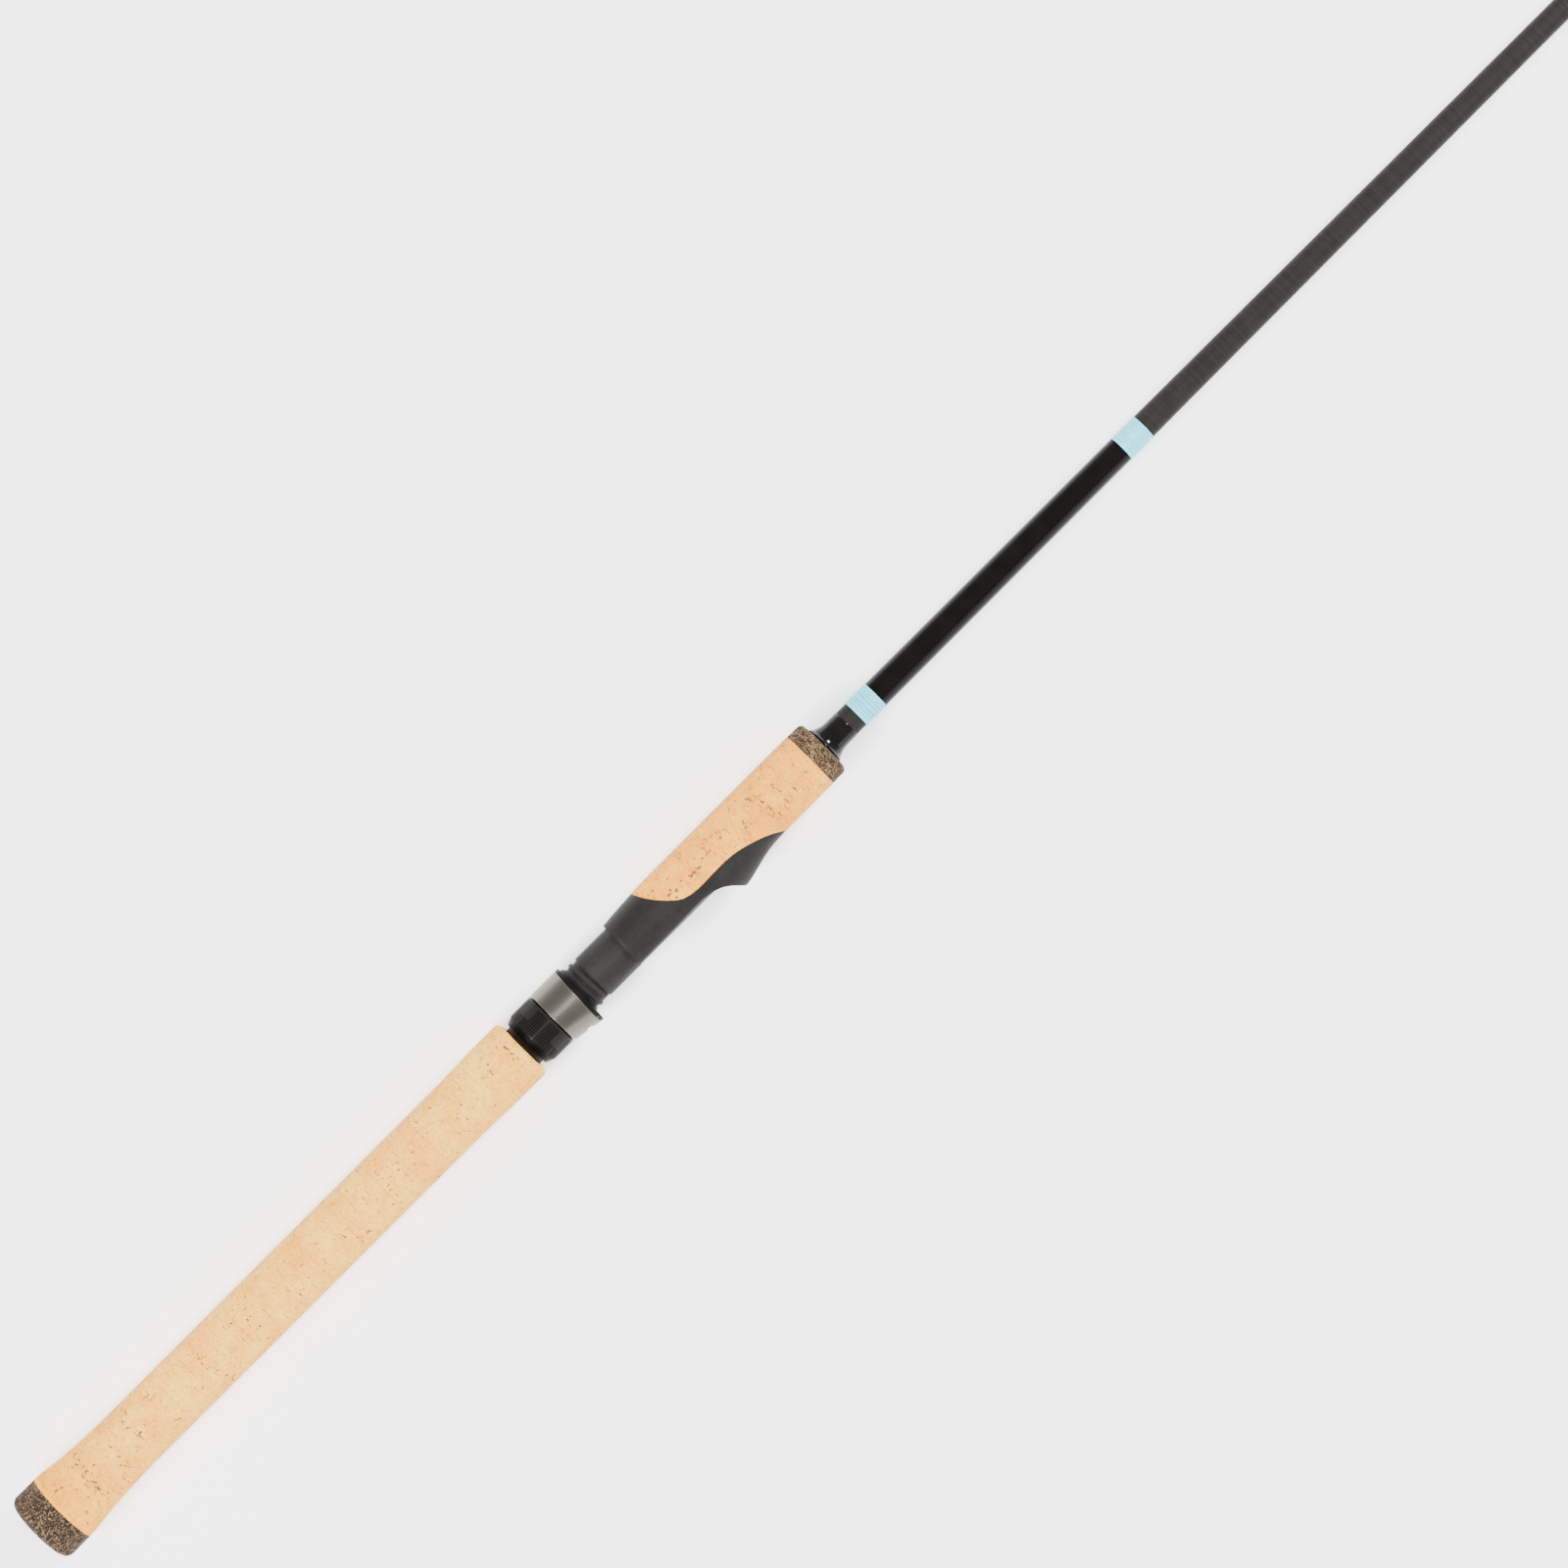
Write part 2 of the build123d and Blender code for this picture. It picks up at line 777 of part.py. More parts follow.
for number, (station, size) in enumerate(zip(guide_stations, ring_sizes), start=1):
    sheet = sheet_of(size)
    band = band_radius(size)
    drop = ring_drop(station, size)
    reach = 0.55 * size + 2.0
    heel_x = station + reach
    toe_x = heel_x + foot_length(size)
    flank = (station, -drop + flank_level * band, 0)
    heel = (heel_x, -blank_radius(heel_x) - sheet / 2, 0)
    leg = (Vector(*heel) - Vector(*flank)).length
    fork_outer, fork_inner = fork_outlines(size, foot_width(station), leg)
    guide_feet[number] = [(heel_x, toe_x)]
    with BuildPart() as guide_frame:
        with BuildSketch(fork_plane(flank, heel)):
            with BuildLine():
                Polyline(*fork_outer, close=True)
            make_face()
            with BuildLine():
                Polyline(*fork_inner, close=True)
            make_face(mode=Mode.SUBTRACT)
        extrude(amount=sheet / 2, both=True)
        # front foot, its toe ground thin
        with BuildSketch(Plane.XY):
            with BuildLine():
                Polyline(
                    (heel_x - sheet / 2, 0),
                    (heel_x - sheet / 2, -blank_radius(heel_x) - sheet),
                    (toe_x - 3, -blank_radius(toe_x - 3) - 0.8 * sheet),
                    (toe_x, -blank_radius(toe_x) - 0.25),
                    (toe_x, 0),
                    close=True,
                )
            make_face()
        extrude(amount=foot_width(station) / 2, both=True)
        if number <= double_foot_count:
            # single strap to the rear foot
            back_x = station - 0.8 * reach
            back_toe = back_x - foot_length(size)
            band_foot = -drop + band - 0.3
            guide_feet[number].append((back_x, back_toe))
            with BuildSketch(Plane.XY):
                with BuildLine():
                    Polyline(
                        (station - sheet / 2, band_foot),
                        (station + sheet / 2, band_foot),
                        (back_x + sheet / 2, -blank_radius(back_x) - sheet / 2),
                        (back_x + sheet / 2, 0),
                        (back_toe, 0),
                        (back_toe, -blank_radius(back_toe) - 0.25),
                        (back_toe + 3, -blank_radius(back_toe + 3) - 0.8 * sheet),
                        (back_x - sheet / 2, -blank_radius(back_x) - sheet),
                        close=True,
                    )
                make_face()
            extrude(amount=0.42 * foot_width(station), both=True)
        # band round the ring
        band_width = 0.75 * ring_width(size)
        with BuildSketch(Plane.YZ.offset(station - band_width / 2)):
            with Locations((-drop, 0)):
                Circle(band)
        extrude(amount=band_width)
        with BuildSketch(Plane.YZ.offset(station - size)):
            with Locations((-drop, 0)):
                Circle(size / 2)
        extrude(amount=2 * size, mode=Mode.SUBTRACT)
        add(blank_form.part, mode=Mode.SUBTRACT)
    guide_frames[number] = guide_frame.part
    finish(guide_frame, f"guide_frame_{number}")

    wall = ring_wall(size)
    with BuildPart() as guide_ring:
        with BuildSketch(Plane.XY):
            with Locations((station, -drop - size / 2 + wall / 2)):
                RectangleRounded(ring_width(size), wall, 0.4 * wall)
        revolve(axis=Axis((station, -drop, 0), (1, 0, 0)))
    finish(guide_ring, f"guide_ring_{number}")

# thread wraps over the feet: one node for each big guide, one for all the small ones
wrap_groups = {f"guide_wraps_{n}": [n] for n in range(1, double_foot_count + 1)}
wrap_groups["single_foot_wraps"] = list(range(double_foot_count + 1, len(ring_sizes) + 1))

for name, members in wrap_groups.items():
    with BuildPart() as wraps:
        for number in members:
            sheet = sheet_of(ring_sizes[number - 1])
            for heel_x, toe_x in guide_feet[number]:
                forward = 1 if toe_x > heel_x else -1
                wrap_from = heel_x + forward * heel_gap
                wrap_to = toe_x + forward * toe_cover
                thick_end = min(wrap_from, wrap_to)
                shift = (sheet + 0.18) / 2
                with Locations(((wrap_from + wrap_to) / 2, -shift, 0)):
                    Cylinder(
                        blank_radius(thick_end) + 0.12 + shift,
                        abs(wrap_to - wrap_from),
                        rotation=(0, 90, 0),
                    )
        fillet(edges().filter_by(GeomType.CIRCLE), 0.35)
        add(blank_form.part, mode=Mode.SUBTRACT)
        for number in members:
            add(guide_frames[number], mode=Mode.SUBTRACT)
    finish(wraps, name)

# ---------------------------------------------------------------- tip-top
tube_radius = 1.45
tube_start = blank_tip - 12.0
tip_station = rod_length - ring_width(tip_ring_size) / 2
tip_drop = band_radius(tip_ring_size) + 0.9
tip_sheet = 0.6
tip_wrap_start = tube_start - 5.0
tip_heel = (tube_start + 1.5, -tube_radius, 0)
tip_flank = (tip_station, -tip_drop + flank_level * band_radius(tip_ring_size), 0)
tip_leg = (Vector(*tip_heel) - Vector(*tip_flank)).length
fork_outer, fork_inner = fork_outlines(tip_ring_size, 1.6 * tube_radius, tip_leg)

with BuildPart() as tip_top:
    with BuildSketch(fork_plane(tip_flank, tip_heel)):
        with BuildLine():
            Polyline(*fork_outer, close=True)
        make_face()
        with BuildLine():
            Polyline(*fork_inner, close=True)
        make_face(mode=Mode.SUBTRACT)
    extrude(amount=tip_sheet / 2, both=True)
    with BuildSketch(Plane.YZ.offset(tube_start)):
        Circle(tube_radius)
    extrude(amount=tip_station - tube_start)
    tip_band_width = 0.75 * ring_width(tip_ring_size)
    with BuildSketch(Plane.YZ.offset(tip_station - tip_band_width / 2)):
        with Locations((-tip_drop, 0)):
            Circle(band_radius(tip_ring_size))
    extrude(amount=tip_band_width)
    with BuildSketch(Plane.YZ.offset(tip_station - tip_band_width)):
        with Locations((-tip_drop, 0)):
            Circle(tip_ring_size / 2)
    extrude(amount=2 * tip_band_width, mode=Mode.SUBTRACT)
    add(blank_form.part, mode=Mode.SUBTRACT)
finish(tip_top, "tip_top")

with BuildPart() as tip_ring:
    wall = ring_wall(tip_ring_size)
    with BuildSketch(Plane.XY):
        with Locations((tip_station, -tip_drop - tip_ring_size / 2 + wall / 2)):
            RectangleRounded(ring_width(tip_ring_size), wall, 0.4 * wall)
    revolve(axis=Axis((tip_station, -tip_drop, 0), (1, 0, 0)))
finish(tip_ring, "tip_ring")

with BuildPart() as tip_wrap:
    with BuildSketch(Plane.XY):
        with BuildLine():
            Polyline(
                (tip_wrap_start, 0),
                (tip_wrap_start, blank_radius(tube_start) + 0.12),
                (tip_wrap_start + 0.4, blank_radius(tube_start) + 0.25),
                (tube_start - 0.5, tube_radius - 0.1),
                (tube_start, tube_radius - 0.15),
                (tube_start, 0),
                close=True,
            )
        make_face()
    revolve(axis=Axis.X)
    add(blank_form.part, mode=Mode.SUBTRACT)
finish(tip_wrap, "tip_wrap")
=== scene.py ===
"""Looks for the spinning rod, which lies on a pale floor and is seen from above."""
import math
import random

import bmesh
import bpy
import numpy as np
from mathutils import Matrix, Vector


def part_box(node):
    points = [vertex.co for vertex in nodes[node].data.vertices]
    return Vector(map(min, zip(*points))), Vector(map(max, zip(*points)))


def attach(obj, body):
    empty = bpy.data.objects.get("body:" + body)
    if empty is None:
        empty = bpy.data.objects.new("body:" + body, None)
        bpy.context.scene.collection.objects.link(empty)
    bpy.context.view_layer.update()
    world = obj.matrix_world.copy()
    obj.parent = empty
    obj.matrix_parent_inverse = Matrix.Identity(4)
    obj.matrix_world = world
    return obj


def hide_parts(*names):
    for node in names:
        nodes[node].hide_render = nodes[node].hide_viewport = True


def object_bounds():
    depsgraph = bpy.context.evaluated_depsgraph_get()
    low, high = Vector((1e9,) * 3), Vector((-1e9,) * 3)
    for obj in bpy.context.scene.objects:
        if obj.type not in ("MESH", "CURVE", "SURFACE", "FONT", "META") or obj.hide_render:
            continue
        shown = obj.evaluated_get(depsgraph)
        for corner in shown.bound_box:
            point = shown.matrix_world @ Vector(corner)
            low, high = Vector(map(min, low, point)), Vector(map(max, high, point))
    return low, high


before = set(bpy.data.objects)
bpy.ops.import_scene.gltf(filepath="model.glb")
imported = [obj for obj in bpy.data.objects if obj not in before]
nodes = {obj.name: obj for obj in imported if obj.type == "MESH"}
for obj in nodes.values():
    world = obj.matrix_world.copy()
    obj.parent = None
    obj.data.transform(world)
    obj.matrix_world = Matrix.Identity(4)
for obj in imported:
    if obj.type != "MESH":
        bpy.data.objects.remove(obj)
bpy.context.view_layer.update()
MM = 0.001

# camera: millimetres of sensor, metres above the floor, metres of floor across the picture
SENSOR = 36.0
CAMERA_HEIGHT = 2.60
PICTURE_WIDTH = 0.608

# studio: sizes in metres, powers in watts
BOX_SIZE = (0.62, 0.62)
BOX_POWER = 150
SKY_STRENGTH = 1.43
SKY_SHADES = ((0.10, 1.0), (0.60, 0.55))
FLOOR_REACH = 12.0
FLOOR_SHADE = 0.92
FLOOR_GLOW = 0.9

# nets that the cork and composite surfaces are cut into: step along the rod, cuts round it
CORK_NET = (0.00055, 150)
CAP_NET = (0.0005, 170)
RING_NET = (0.0005, 150)
GRIP_RADIUS = 13.0 * MM
SKIN_BANDS = 24
SKIN_THICKNESS = 0.4 * MM
JOINT_WIDTH = 0.35 * MM
CORK_JOINT_DEPTH = 0.07 * MM
COMPOSITE_JOINT_DEPTH = 0.04 * MM
CAP_GRIT = 0.12 * MM
RING_GRIT = 0.10 * MM

# wound thread
TRIM_PITCH = 0.30 * MM
GUIDE_WRAP_PITCH = 0.25 * MM
RIDGE_HEIGHT = 0.05 * MM
POINTS_PER_TURN = 4
BAND_SECTORS = 72

# radius of the nut's lands; the grooves below it get painted shade
NUT_SKIN_RADIUS = 11.9 * MM
EDGE_ANGLE = math.radians(35)     # CAD edges sharper than this get small rounds


# ---------------------------------------------------------------- camera
def make_camera():
    """Looks almost straight down, turned so that the rod runs up to the right."""
    aim = Vector((0.4087, 0.0006, 0.0))
    stand = Vector((0.352, 0.0006, CAMERA_HEIGHT))
    data = bpy.data.cameras.new("camera")
    data.lens = SENSOR * CAMERA_HEIGHT / PICTURE_WIDTH
    camera = bpy.data.objects.new("camera", data)
    bpy.context.collection.objects.link(camera)
    back = (stand - aim).normalized()
    up = Vector((1, 1, 0)).normalized()
    right = up.cross(back).normalized()
    up = back.cross(right)
    turn = Matrix((right, up, back)).transposed()
    camera.matrix_world = Matrix.LocRotScale(stand, turn, None)
    data.clip_end = 20.0
    bpy.context.scene.camera = camera


make_camera()


# ---------------------------------------------------------------- light and floor
def area_light(name, place, target, size, power):
    data = bpy.data.lights.new(name, "AREA")
    data.shape = "RECTANGLE"
    data.size, data.size_y = size
    data.energy = power
    light = bpy.data.objects.new(name, data)
    bpy.context.collection.objects.link(light)
    light.location = place
    direction = Vector(target) - Vector(place)
    light.rotation_euler = direction.to_track_quat("-Z", "Y").to_euler()


def make_lights():
    middle = (0.42, 0.0, 0.0)
    # two square softboxes, one past each end of the grip, and a small lamp by the lens
    area_light("tip_side_box", (2.34, 0.0, 1.60), middle, BOX_SIZE, BOX_POWER)
    area_light("butt_side_box", (-1.50, 0.0, 1.60), middle, BOX_SIZE, BOX_POWER)
    area_light("lens_light", (0.36, 0.0, 2.45), middle, (0.08, 0.08), 9.0)
    area_light("reel_side_soft", (0.5, -2.4, 0.5), middle, (2.4, 0.7), 19)
    world = bpy.data.worlds.new("studio")
    bpy.context.scene.world = world
    world.use_nodes = True
    tree = world.node_tree
    sky = tree.nodes["Background"]
    split = tree.nodes.new("ShaderNodeSeparateXYZ")
    shade = tree.nodes.new("ShaderNodeValToRGB")
    place = tree.nodes.new("ShaderNodeTexCoord")
    tree.links.new(place.outputs["Generated"], split.inputs[0])
    tree.links.new(split.outputs[2], shade.inputs[0])
    for element, (at, level) in zip(shade.color_ramp.elements, SKY_SHADES):
        element.position = at
        element.color = (level, level, level, 1)
    tree.links.new(shade.outputs[0], sky.inputs["Color"])
    sky.inputs["Strength"].default_value = SKY_STRENGTH


def make_floor():
    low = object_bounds()[0].z
    middle = 1.0
    signs = [(-1, -1), (1, -1), (1, 1), (-1, 1)]
    corners = [(middle + FLOOR_REACH * x, FLOOR_REACH * y, low) for x, y in signs]
    mesh = bpy.data.meshes.new("floor")
    mesh.from_pydata(corners, [], [(0, 1, 2, 3)])
    floor = bpy.data.objects.new("floor", mesh)
    bpy.context.collection.objects.link(floor)
    material = bpy.data.materials.new("floor_paper")
    material.use_nodes = True
    shader = material.node_tree.nodes["Principled BSDF"]
    shader.inputs["Base Color"].default_value = (FLOOR_SHADE, FLOOR_SHADE, FLOOR_SHADE, 1)
    shader.inputs["Roughness"].default_value = 1.0
    shader.inputs["Specular IOR Level"].default_value = 0.0
    shader.inputs["Emission Color"].default_value = (1, 1, 1, 1)
    shader.inputs["Emission Strength"].default_value = FLOOR_GLOW
    mesh.materials.append(material)


make_lights()
make_floor()


# ---------------------------------------------------------------- material helpers
class Graph:
    """A few short words for building a node material."""

    def __init__(self, name):
        self.material = bpy.data.materials.new(name)
        self.material.use_nodes = True
        self.tree = self.material.node_tree
        self.shader = self.tree.nodes["Principled BSDF"]
        self.coords = self.tree.nodes.new("ShaderNodeTexCoord").outputs["Object"]

    def node(self, kind, **values):
        made = self.tree.nodes.new(kind)
        for key, value in values.items():
            setattr(made, key, value)
        return made

    def link(self, source, target):
        self.tree.links.new(source, target)

    def stretch(self, scale, offset=(0, 0, 0)):
        """Coordinates in metres, scaled along each axis and moved."""
        mapping = self.node("ShaderNodeMapping")
        mapping.inputs["Scale"].default_value = scale
        mapping.inputs["Location"].default_value = offset
        self.link(self.coords, mapping.inputs["Vector"])
        return mapping.outputs["Vector"]

    def noise(self, scale, detail=4.0, roughness=0.55, vector=None, distortion=0.0):
        made = self.node("ShaderNodeTexNoise")
        made.inputs["Scale"].default_value = scale
        made.inputs["Detail"].default_value = detail
        made.inputs["Roughness"].default_value = roughness
        made.inputs["Distortion"].default_value = distortion
        self.link(vector or self.coords, made.inputs["Vector"])
        return made.outputs["Fac"]

    def cells(self, scale, vector=None, feature="F1", output="Distance"):
        made = self.node("ShaderNodeTexVoronoi", feature=feature)
        made.inputs["Scale"].default_value = scale
        self.link(vector or self.coords, made.inputs["Vector"])
        return made.outputs[output]

    def ramp(self, fac, *stops):
        made = self.node("ShaderNodeValToRGB")
        elements = made.color_ramp.elements
        while len(elements) < len(stops):
            elements.new(0.5)
        for element, (place, colour) in zip(elements, stops):
            element.position = place
            if not isinstance(colour, tuple):
                colour = (colour,) * 3
            element.color = (*colour, 1)
        self.link(fac, made.inputs["Fac"])
        return made.outputs["Color"]

    def mix(self, fac, first, second, blend="MIX"):
        made = self.node("ShaderNodeMix", data_type="RGBA", blend_type=blend)
        for value, socket in ((fac, 0), (first, 6), (second, 7)):
            if isinstance(value, (int, float)):
                made.inputs[socket].default_value = value
            elif isinstance(value, tuple):
                made.inputs[socket].default_value = (*value, 1)
            else:
                self.link(value, made.inputs[socket])
        return made.outputs[2]

    def maths(self, operation, first, second=0.0):
        made = self.node("ShaderNodeMath", operation=operation)
        for value, socket in ((first, 0), (second, 1)):
            if isinstance(value, (int, float)):
                made.inputs[socket].default_value = value
            else:
                self.link(value, made.inputs[socket])
        return made.outputs[0]

    def attribute(self, name):
        return self.node("ShaderNodeAttribute", attribute_name=name).outputs["Fac"]

    def radius(self):
        """Distance from the rod's axis."""
        split = self.node("ShaderNodeSeparateXYZ")
        self.link(self.coords, split.inputs[0])
        across = self.maths("POWER", split.outputs[1], 2.0)
        upward = self.maths("POWER", split.outputs[2], 2.0)
        return self.maths("SQRT", self.maths("ADD", across, upward))

    def set(self, **values):
        for key, value in values.items():
            socket = self.shader.inputs[key.replace("_", " ")]
            if isinstance(value, tuple):
                socket.default_value = (*value, 1)
            elif isinstance(value, (int, float)):
                socket.default_value = value
            else:
                self.link(value, socket)

    def bump(self, height, distance, strength=1.0):
        made = self.node("ShaderNodeBump")
        made.inputs["Distance"].default_value = distance
        made.inputs["Strength"].default_value = strength
        self.link(height, made.inputs["Height"])
        self.link(made.outputs["Normal"], self.shader.inputs["Normal"])


def shade_of(colour, factor):
    return tuple(c * factor for c in colour)


def tinted(colour, factors):
    return tuple(min(1.0, c * f) for c, f in zip(colour, factors))


def shift_by(shift, amount):
    return tuple(s + amount for s in shift)


def paint(node, material):
    """Give one CAD node its material in place of the plain one."""
    mesh = nodes[node].data
    mesh.materials.clear()
    mesh.materials.append(material)


# ---------------------------------------------------------------- materials
def cork(name, tone, blush, seed):
    """Natural cork: warm tan, pinkish clouds, fine grain and dark pores; tone is an RGB factor."""
    g = Graph(name)
    shift = (seed * 0.37, seed * 0.73, seed * 0.19)
    own = g.stretch((1, 1, 1), shift)
    light = tinted((0.97, 0.53, 0.080), tone)
    dark = tinted((0.92, 0.40, 0.042), tone)
    pink = tinted((0.95, 0.385, 0.048), tone)
    base = g.ramp(g.noise(85, 3, 0.6), (0.36, dark), (0.60, light))
    clouds = g.noise(55, 2, 0.5, g.stretch((1.6, 0.8, 0.8)))
    base = g.mix(g.ramp(clouds, (0.50 - blush, 0.0), (0.72 - blush, 0.85)), base, pink)
    grain = g.noise(1100, 5, 0.7, own)
    base = g.mix(0.55, base, g.ramp(grain, (0.34, 0.45), (0.60, 1.0)), "MULTIPLY")
    rays = g.noise(1, 4, 0.65, g.stretch((2300, 260, 260), shift))
    base = g.mix(0.45, base, g.ramp(rays, (0.34, 0.6), (0.58, 1.0)), "MULTIPLY")
    rind = g.noise(1, 3, 0.75, g.stretch((1300, 170, 170), shift_by(shift, 2.3)), 0.5)
    scars = g.ramp(rind, (0.325, 1.0), (0.365, 0.0))
    patch = g.ramp(g.noise(75, 2, 0.5, g.stretch((1, 1, 1), shift_by(shift, 8.7))),
                   (0.47, 0.0), (0.62, 1.0))
    scars = g.maths("MULTIPLY", scars, patch)
    base = g.mix(g.maths("MULTIPLY", scars, 0.9), base, (0.24, 0.10, 0.035))
    bloom = g.ramp(g.noise(190, 4, 0.7, own), (0.30, 0.82), (0.5, 1.0))
    base = g.mix(1.0, base, bloom, "MULTIPLY")
    field = g.noise(620, 2, 0.5, g.stretch((1.6, 0.7, 0.7), shift), 0.8)
    pores = g.ramp(field, (0.30, 1.0), (0.345, 0.0))
    base = g.mix(g.maths("MULTIPLY", pores, 0.85), base, (0.10, 0.042, 0.018))
    pits = g.ramp(g.attribute("pit"), (0.08, 0.0), (0.5, 0.9))
    base = g.mix(pits, base, (0.065, 0.036, 0.018))
    g.set(Base_Color=base, Roughness=0.8, Specular_IOR_Level=0.2)
    relief = g.maths("SUBTRACT", g.maths("MULTIPLY", grain, 0.5), g.maths("MAXIMUM", pores, scars))
    g.bump(relief, 0.00014, 0.7)
    return g.material


def composite(name, dark, mid, light, scale):
    """Ground cork bound in rubber: packed granules, each its own brown."""
    g = Graph(name)
    ripple = g.node("ShaderNodeTexNoise")
    ripple.inputs["Scale"].default_value = 700
    g.link(g.coords, ripple.inputs["Vector"])
    wobble = g.mix(0.00025, g.coords, ripple.outputs["Color"], "ADD")
    tint = g.cells(scale, wobble, output="Color")
    edge = g.cells(scale, wobble, feature="DISTANCE_TO_EDGE")
    tone = g.node("ShaderNodeSeparateColor")
    g.link(tint, tone.inputs["Color"])
    base = g.ramp(tone.outputs[0], (0.25, dark), (0.6, mid), (0.97, light))
    base = g.mix(0.6, base, g.ramp(edge, (0.0, 0.4), (0.15, 1.0)), "MULTIPLY")
    fine = g.noise(scale * 3, 4, 0.6)
    base = g.mix(0.4, base, g.ramp(fine, (0.3, 0.6), (0.65, 1.0)), "MULTIPLY")
    g.set(Base_Color=base, Roughness=0.85, Specular_IOR_Level=0.2)
    g.bump(g.maths("ADD", fine, edge), 0.0001, 0.5)
    return g.material


def moulding(name, colour, roughness, grain=2600, level=0.22):
    """Moulded seat plastic: eggshell grain, faint mottling and handling shine."""
    g = Graph(name)
    fine = g.noise(grain, 3, 0.6)
    broad = g.noise(60, 4, 0.6)
    speck = g.noise(520, 3, 0.7)
    base = g.ramp(broad, (0.3, shade_of(colour, 0.8)), (0.72, shade_of(colour, 1.35)))
    base = g.mix(0.6, base, g.ramp(speck, (0.32, 0.6), (0.5, 1.0), (0.72, 1.0)), "MULTIPLY")
    g.set(Base_Color=base, Specular_IOR_Level=level)
    g.set(Roughness=g.ramp(broad, (0.25, roughness - 0.08), (0.75, roughness + 0.06)))
    g.bump(g.maths("ADD", fine, speck), 0.00004, 0.6)
    return g.material


def knurled(name, colour, skin):
    """The lock nut: satin lands over grip grooves, with painted shade on the groove floors."""
    g = Graph(name)
    fine = g.noise(2400, 3, 0.6)
    # painted shade: below the lands the groove floors are painted nearly black
    depth = g.ramp(g.maths("MULTIPLY", g.radius(), 1 / skin), (0.965, 0.02), (0.990, 1.0))
    broad = g.noise(70, 3, 0.6)
    base = g.ramp(broad, (0.3, colour), (0.7, shade_of(colour, 1.3)))
    g.set(Base_Color=g.mix(1.0, base, depth, "MULTIPLY"), Specular_IOR_Level=0.06)
    g.set(Roughness=g.ramp(broad, (0.3, 0.36), (0.7, 0.48)))
    g.bump(fine, 0.00003, 0.5)
    return g.material


def brushed(name, colour, roughness):
    """Satin metal with fine lines turned round the rod's axis."""
    g = Graph(name)
    lines = g.noise(1, 5, 0.7, g.stretch((5200, 90, 90)))
    smudge = g.noise(130, 3, 0.5)
    g.set(Base_Color=g.ramp(lines, (0.3, shade_of(colour, 0.84)), (0.7, colour)))
    rough = g.maths("ADD", g.maths("MULTIPLY", lines, 0.12), roughness - 0.1)
    rough = g.maths("ADD", rough, g.maths("MULTIPLY", smudge, 0.08))
    g.set(Roughness=rough, Metallic=1.0)
    g.bump(lines, 0.00002, 0.5)
    return g.material


def graphite(name):
    """Unpolished blank: dark grey with faint wrap lines round it."""
    g = Graph(name)
    wraps = g.noise(1, 3, 0.6, g.stretch((900, 60, 60)))
    fine = g.noise(3000, 3, 0.6)
    streak = g.noise(1, 3, 0.6, g.stretch((14, 700, 700)))
    tone = g.ramp(wraps, (0.3, (0.012, 0.0108, 0.0098)), (0.7, (0.018, 0.0165, 0.015)))
    tone = g.mix(0.4, tone, g.ramp(streak, (0.3, 0.7), (0.7, 1.0)), "MULTIPLY")
    g.set(Base_Color=tone, Roughness=0.5, Specular_IOR_Level=0.06)
    g.bump(g.maths("ADD", fine, wraps), 0.00002, 0.5)
    return g.material


def lacquer(name, colour, roughness=0.07, level=0.25):
    """Deep gloss over a dark ground, with a very slight orange peel."""
    g = Graph(name)
    depth = g.noise(160, 3, 0.5)
    g.set(Base_Color=g.ramp(depth, (0.3, colour), (0.7, shade_of(colour, 1.5))))
    g.set(Roughness=roughness, Specular_IOR_Level=level)
    g.bump(g.noise(500, 2, 0.5), 0.00001, 0.2)
    return g.material


def thread(name, colour, level=0.3, coat=0.25, pitch=None):
    """Nylon thread wound round the blank under a clear coat; a pitch draws its own turns."""
    g = Graph(name)
    fibre = g.noise(1, 3, 0.6, g.stretch((9000, 700, 700)))
    cloud = g.noise(240, 3, 0.6)
    turns = g.attribute("turn")
    relief = fibre
    if pitch:
        bands = g.node("ShaderNodeTexWave", wave_type="BANDS", bands_direction="X")
        bands.inputs["Scale"].default_value = math.pi / 10 / pitch
        g.link(g.coords, bands.inputs["Vector"])
        turns = bands.outputs["Fac"]
        relief = g.maths("ADD", fibre, g.maths("MULTIPLY", turns, 2.0))
    # painted shade: the grooves between turns are painted a fifth darker
    base = g.ramp(turns, (0.0, colour), (1.0, shade_of(colour, 0.8)))
    base = g.mix(0.3, base, g.ramp(fibre, (0.3, 0.75), (0.7, 1.0)), "MULTIPLY")
    base = g.mix(0.3, base, g.ramp(cloud, (0.3, 0.8), (0.7, 1.0)), "MULTIPLY")
    g.set(Base_Color=base, Roughness=0.45, Specular_IOR_Level=level)
    g.set(Coat_Weight=coat, Coat_Roughness=0.2)
    g.bump(relief, 0.00003, 0.5)
    return g.material


def metal_dark(name, colour, roughness):
    """Polished dark plating on stamped steel."""
    g = Graph(name)
    scuff = g.noise(900, 4, 0.6)
    g.set(Base_Color=g.ramp(scuff, (0.3, colour), (0.7, shade_of(colour, 1.2))))
    g.set(Roughness=g.ramp(scuff, (0.3, roughness - 0.05), (0.7, roughness + 0.05)))
    g.set(Metallic=1.0)
    g.bump(scuff, 0.00001, 0.3)
    return g.material


